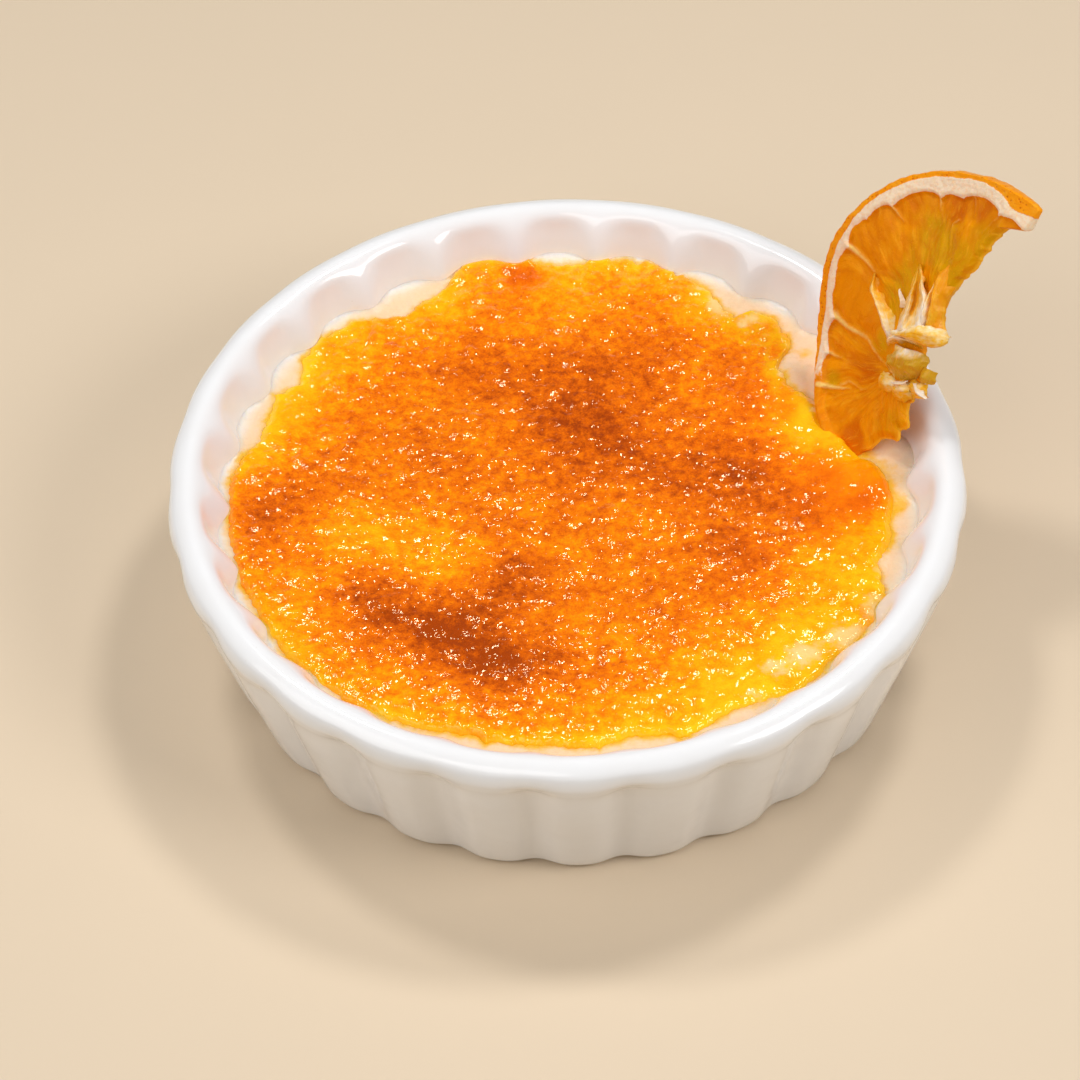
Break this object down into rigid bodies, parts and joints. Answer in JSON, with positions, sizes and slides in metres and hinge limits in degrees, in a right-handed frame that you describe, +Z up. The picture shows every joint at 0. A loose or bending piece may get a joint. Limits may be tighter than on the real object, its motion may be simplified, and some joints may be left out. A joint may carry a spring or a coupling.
{
  "type": "creme brulee",
  "caption": "Creme brulee with a burnt sugar crust in a round fluted porcelain dish, a dried orange half slice standing in one side.",
  "frame": {"origin": "middle of the dish's flat foot, on the surface that it stands on", "axes": "+Z up along the dish's axis, +X towards the side where the orange slice stands"},
  "size_m": [0.1357, 0.1252, 0.0699],
  "materials": {
    "dish": "glossy white glazed porcelain",
    "custard": "pale set custard under a glossy burnt sugar crust",
    "orange_slice": "dried orange, satin, partly see-through"
  },
  "bodies": {
    "root": {"dish": "dish", "custard": "custard", "orange_slice": "orange_slice"}
  },
  "joints": []
}
